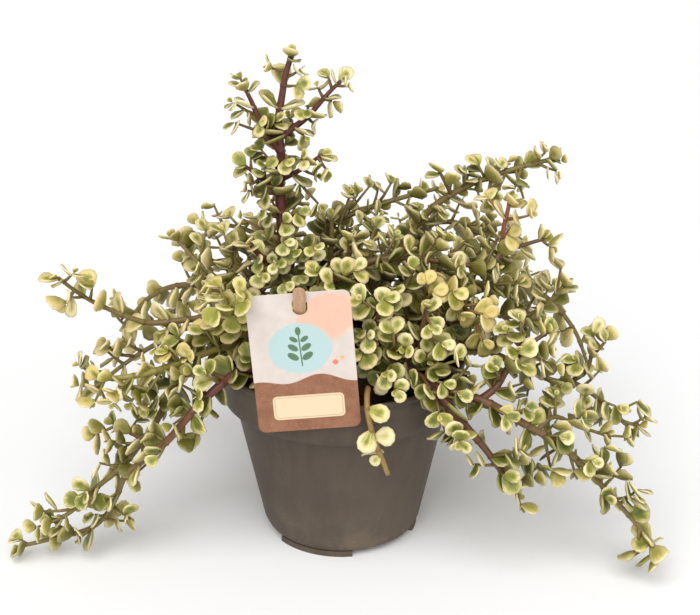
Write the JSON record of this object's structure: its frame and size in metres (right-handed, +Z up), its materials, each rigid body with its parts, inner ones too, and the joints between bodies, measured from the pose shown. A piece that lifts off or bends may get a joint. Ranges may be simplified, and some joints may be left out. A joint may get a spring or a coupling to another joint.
{
  "type": "potted variegated portulacaria",
  "caption": "Trailing succulent with small fleshy variegated leaves, growing in soil in a round tapered pot, with a care card on a flat stick.",
  "frame": {"origin": "middle of the pot's underside, on the flat hub that the pot rests on", "axes": "+Z up along the pot's axis, -Y towards the front with the care card, +X to the right seen from the front"},
  "size_m": [0.3269, 0.2009, 0.2499],
  "materials": {
    "pot": "matte taupe injection-moulded plastic",
    "soil": "dark peat-based potting soil",
    "leaves": "fleshy green leaves with cream margins on wine-red to olive stems",
    "card": "matte printed card",
    "stick": "pale planed wood"
  },
  "bodies": {
    "root": {"pot": "pot", "soil": "soil", "leafy_stem_leader": "leaves", "leafy_stem_left_high": "leaves", "leafy_stem_left_back_high": "leaves", "leafy_stem_left_long": "leaves", "leafy_stem_left_middle": "leaves", "leafy_stem_left_green": "leaves", "leafy_stem_left_trailing_inner": "leaves", "leafy_stem_left_trailing_outer": "leaves", "leafy_stem_front_cut": "leaves", "leafy_stem_right_trailing": "leaves", "leafy_stem_right_middle": "leaves", "leafy_stem_right_upturned": "leaves", "leafy_stem_arching_right": "leaves", "leafy_stem_back_middle": "leaves", "leafy_stem_right_high": "leaves", "leafy_stem_right_back_high": "leaves", "leafy_stem_cream": "leaves", "leafy_stem_back_01": "leaves", "leafy_stem_back_02": "leaves", "leafy_stem_back_03": "leaves", "leafy_stem_back_04": "leaves", "leafy_stem_back_05": "leaves", "leafy_stem_back_06": "leaves", "leafy_stem_back_07": "leaves", "tag_card": "card", "tag_stick": "stick"}
  },
  "joints": []
}
